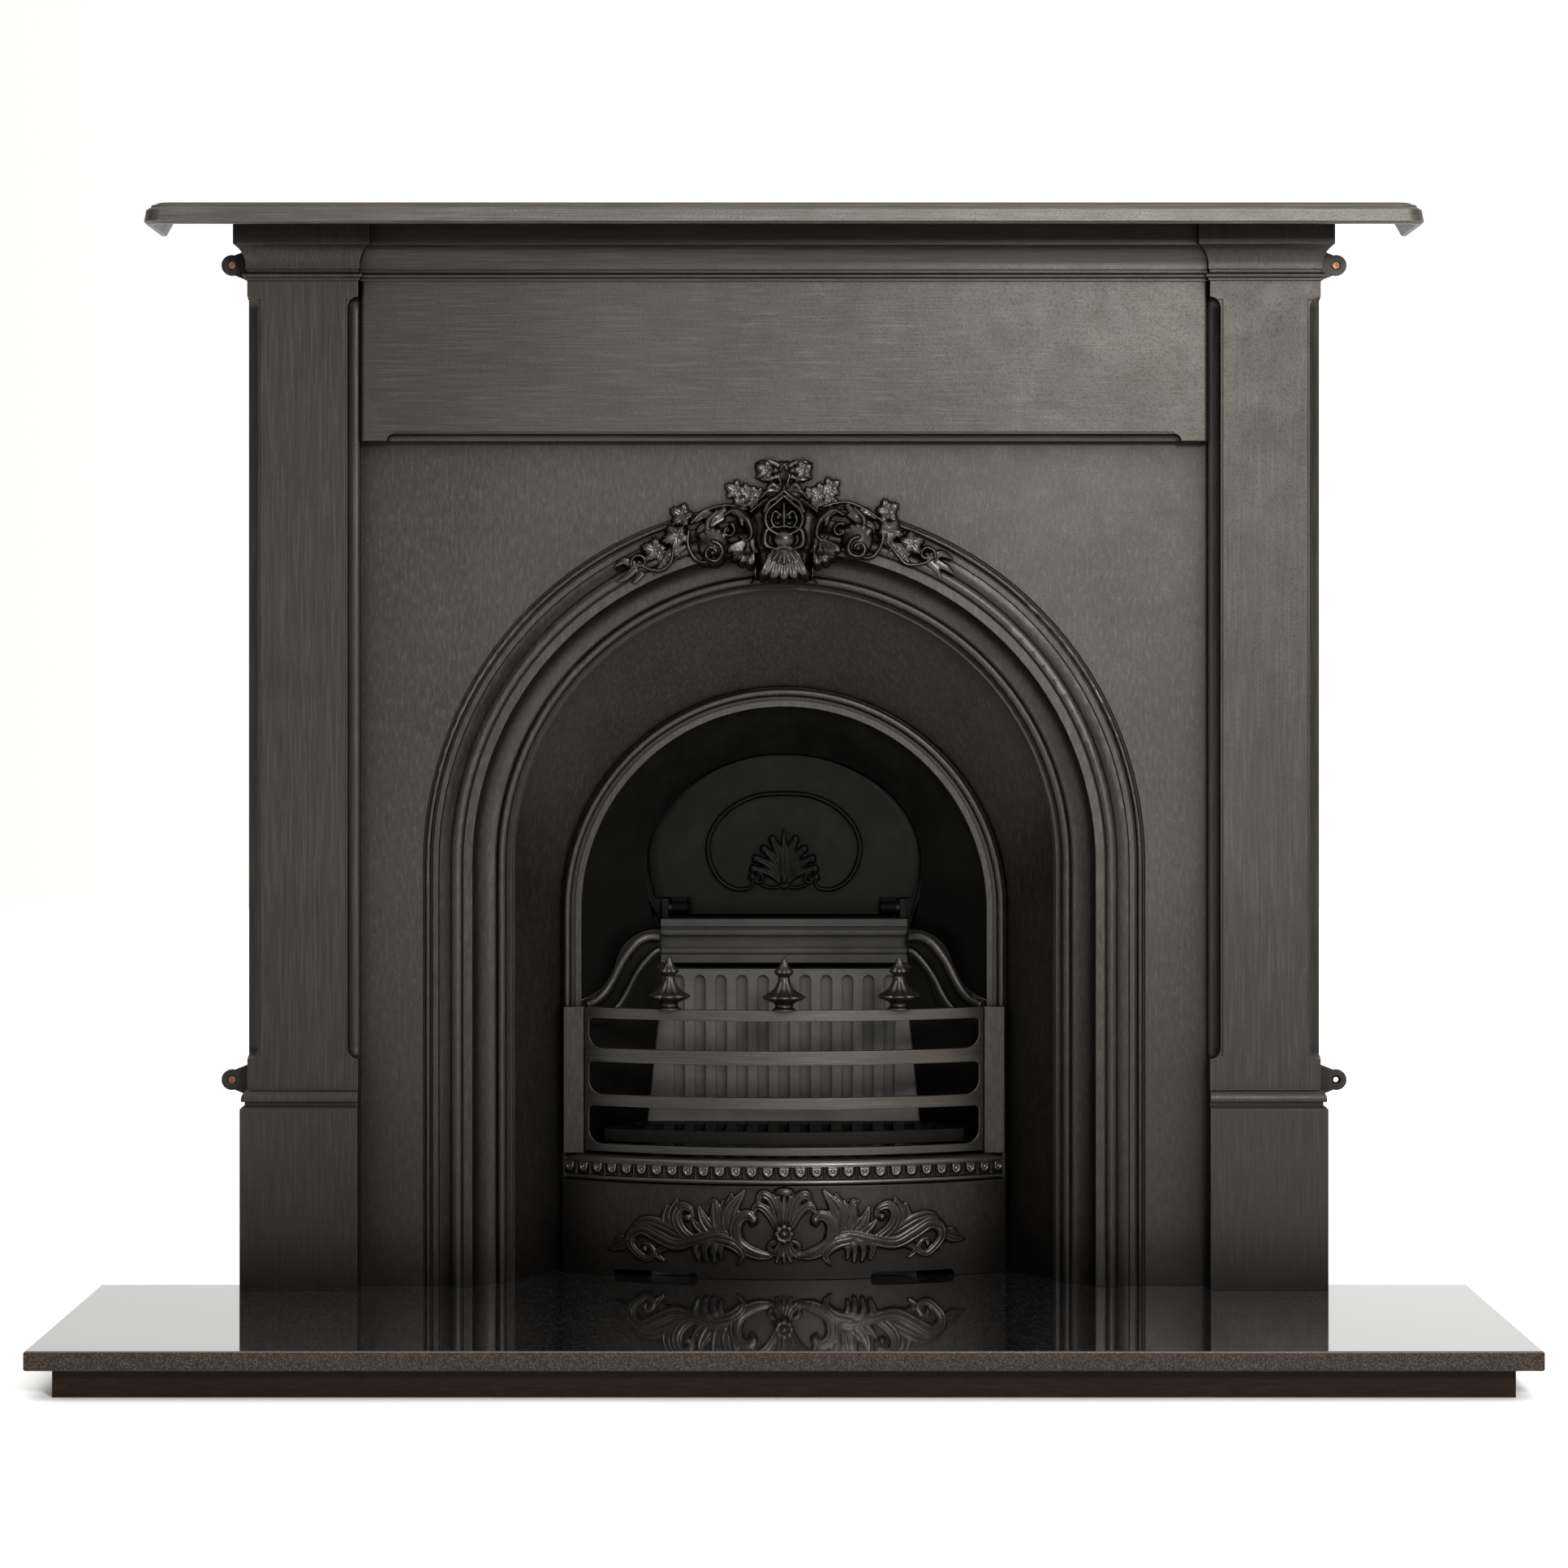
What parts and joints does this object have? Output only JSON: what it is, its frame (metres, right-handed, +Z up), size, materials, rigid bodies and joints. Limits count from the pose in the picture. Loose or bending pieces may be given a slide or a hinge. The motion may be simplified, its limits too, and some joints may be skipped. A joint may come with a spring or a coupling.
{
  "type": "fireplace mantel with arched insert",
  "caption": "Cast-iron fireplace: mantel with shelf, arched insert with splayed throat, bowed lift-off fire bars, tilting damper, pull-away ash cover and pan, on a raised stone hearth.",
  "frame": {"origin": "centre of the floor footprint, on the floor", "axes": "+X to the viewer's right, +Y back into the wall, +Z up; the front faces -Y and the wall's face is the plane Y = 0.106 m"},
  "size_m": [1.524, 0.702, 1.243],
  "materials": {
    "mantel_iron": "graphite-polished satin",
    "shelf_iron": "graphite-polished, coarser cast skin",
    "insert_iron": "graphite-polished satin",
    "ornament_iron": "polished cast relief",
    "chamber_iron": "matt sooted black",
    "grate_iron": "polished satin",
    "firebrick": "matt pitted refractory",
    "granite": "mirror polished",
    "granite_riser": "honed dark brown-black",
    "concrete": "cast rough",
    "brass": "aged brass",
    "steel": "plain zinc",
    "pan_steel": "black stove paint"
  },
  "bodies": {
    "surround": {"hearth_slab": "granite", "hearth_front_riser": "granite_riser", "hearth_left_riser": "granite_riser", "hearth_right_riser": "granite_riser", "hearth_core": "concrete", "left_leg": "mantel_iron", "right_leg": "mantel_iron", "frieze": "mantel_iron", "mantel_shelf": "shelf_iron", "shelf_bolts": "steel", "leg_bolts": "steel", "wall_screws": "brass", "arch_plate": "insert_iron", "arch_reveal": "insert_iron", "insert_bolts": "steel", "keystone_ornament": "ornament_iron", "right_cheek": "chamber_iron", "left_cheek": "chamber_iron", "smoke_hood": "chamber_iron", "damper_pins": "steel", "throat_lintel": "firebrick", "fireback": "firebrick", "right_post": "insert_iron", "left_post": "insert_iron", "grate_ledge": "ornament_iron"},
    "damper": {"damper_door": "chamber_iron"},
    "front_bars": {"front_bars": "grate_iron", "finial_left": "grate_iron", "finial_centre": "grate_iron", "finial_right": "grate_iron"},
    "bottom_grate": {"bottom_grate": "grate_iron"},
    "ash_cover": {"ash_cover": "ornament_iron", "cover_knob": "grate_iron", "knob_screw": "steel"},
    "ash_pan": {"ash_pan": "pan_steel"}
  },
  "joints": [
    {"name": "damper_tilt", "type": "hinge", "parent": "surround", "child": "damper", "pos_m": [0, 0.283, 0.461], "axis": [1, 0, 0], "range_deg": [0, 35]},
    {"name": "front_bars_lift", "type": "slide", "parent": "surround", "child": "front_bars", "axis": [0, 0, 1], "range_m": [0, 0.06]},
    {"name": "bottom_grate_lift", "type": "slide", "parent": "surround", "child": "bottom_grate", "axis": [0, 0, 1], "range_m": [0, 0.025]},
    {"name": "ash_cover_pull", "type": "slide", "parent": "surround", "child": "ash_cover", "axis": [0, -1, 0], "range_m": [0, 0.25]},
    {"name": "ash_pan_slide", "type": "slide", "parent": "surround", "child": "ash_pan", "axis": [0, -1, 0], "range_m": [0, 0.125]}
  ],
  "couplings": [
    {"joint": "ash_pan_slide", "follows": "ash_cover_pull", "ratio": 0.5}
  ]
}
